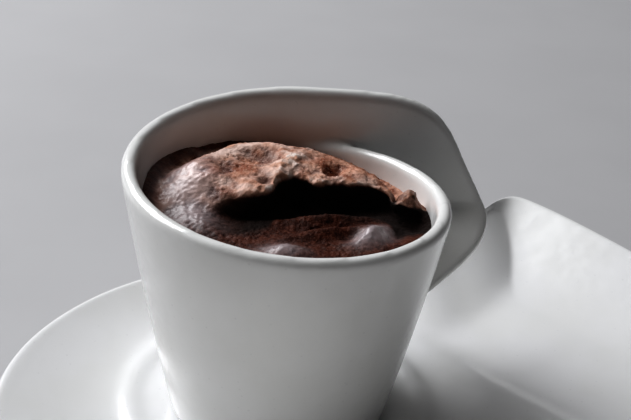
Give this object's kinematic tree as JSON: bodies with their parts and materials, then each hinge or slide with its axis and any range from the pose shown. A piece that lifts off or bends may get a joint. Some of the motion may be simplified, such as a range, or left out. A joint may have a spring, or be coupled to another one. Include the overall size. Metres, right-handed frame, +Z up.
{
  "type": "chocolate mousse in an espresso cup on a saucer",
  "caption": "Spooned chocolate mousse in a white porcelain cup with a spiral rim and ribbon handle, on a long wavy saucer.",
  "frame": {"origin": "on the table, under the middle of the saucer's box", "axes": "+X along the saucer's length towards its far end, +Y towards its waisted back side, +Z up"},
  "size_m": [0.1696, 0.106, 0.0621],
  "materials": {
    "saucer_porcelain": "clear glossy glaze over white porcelain",
    "cup_porcelain": "clear glossy glaze over white porcelain",
    "mousse": "aerated chocolate cream: dull and porous where broken, moist and glossy where smooth"
  },
  "bodies": {
    "root": {"saucer": "saucer_porcelain", "cup": "cup_porcelain", "mousse": "mousse"}
  },
  "joints": []
}
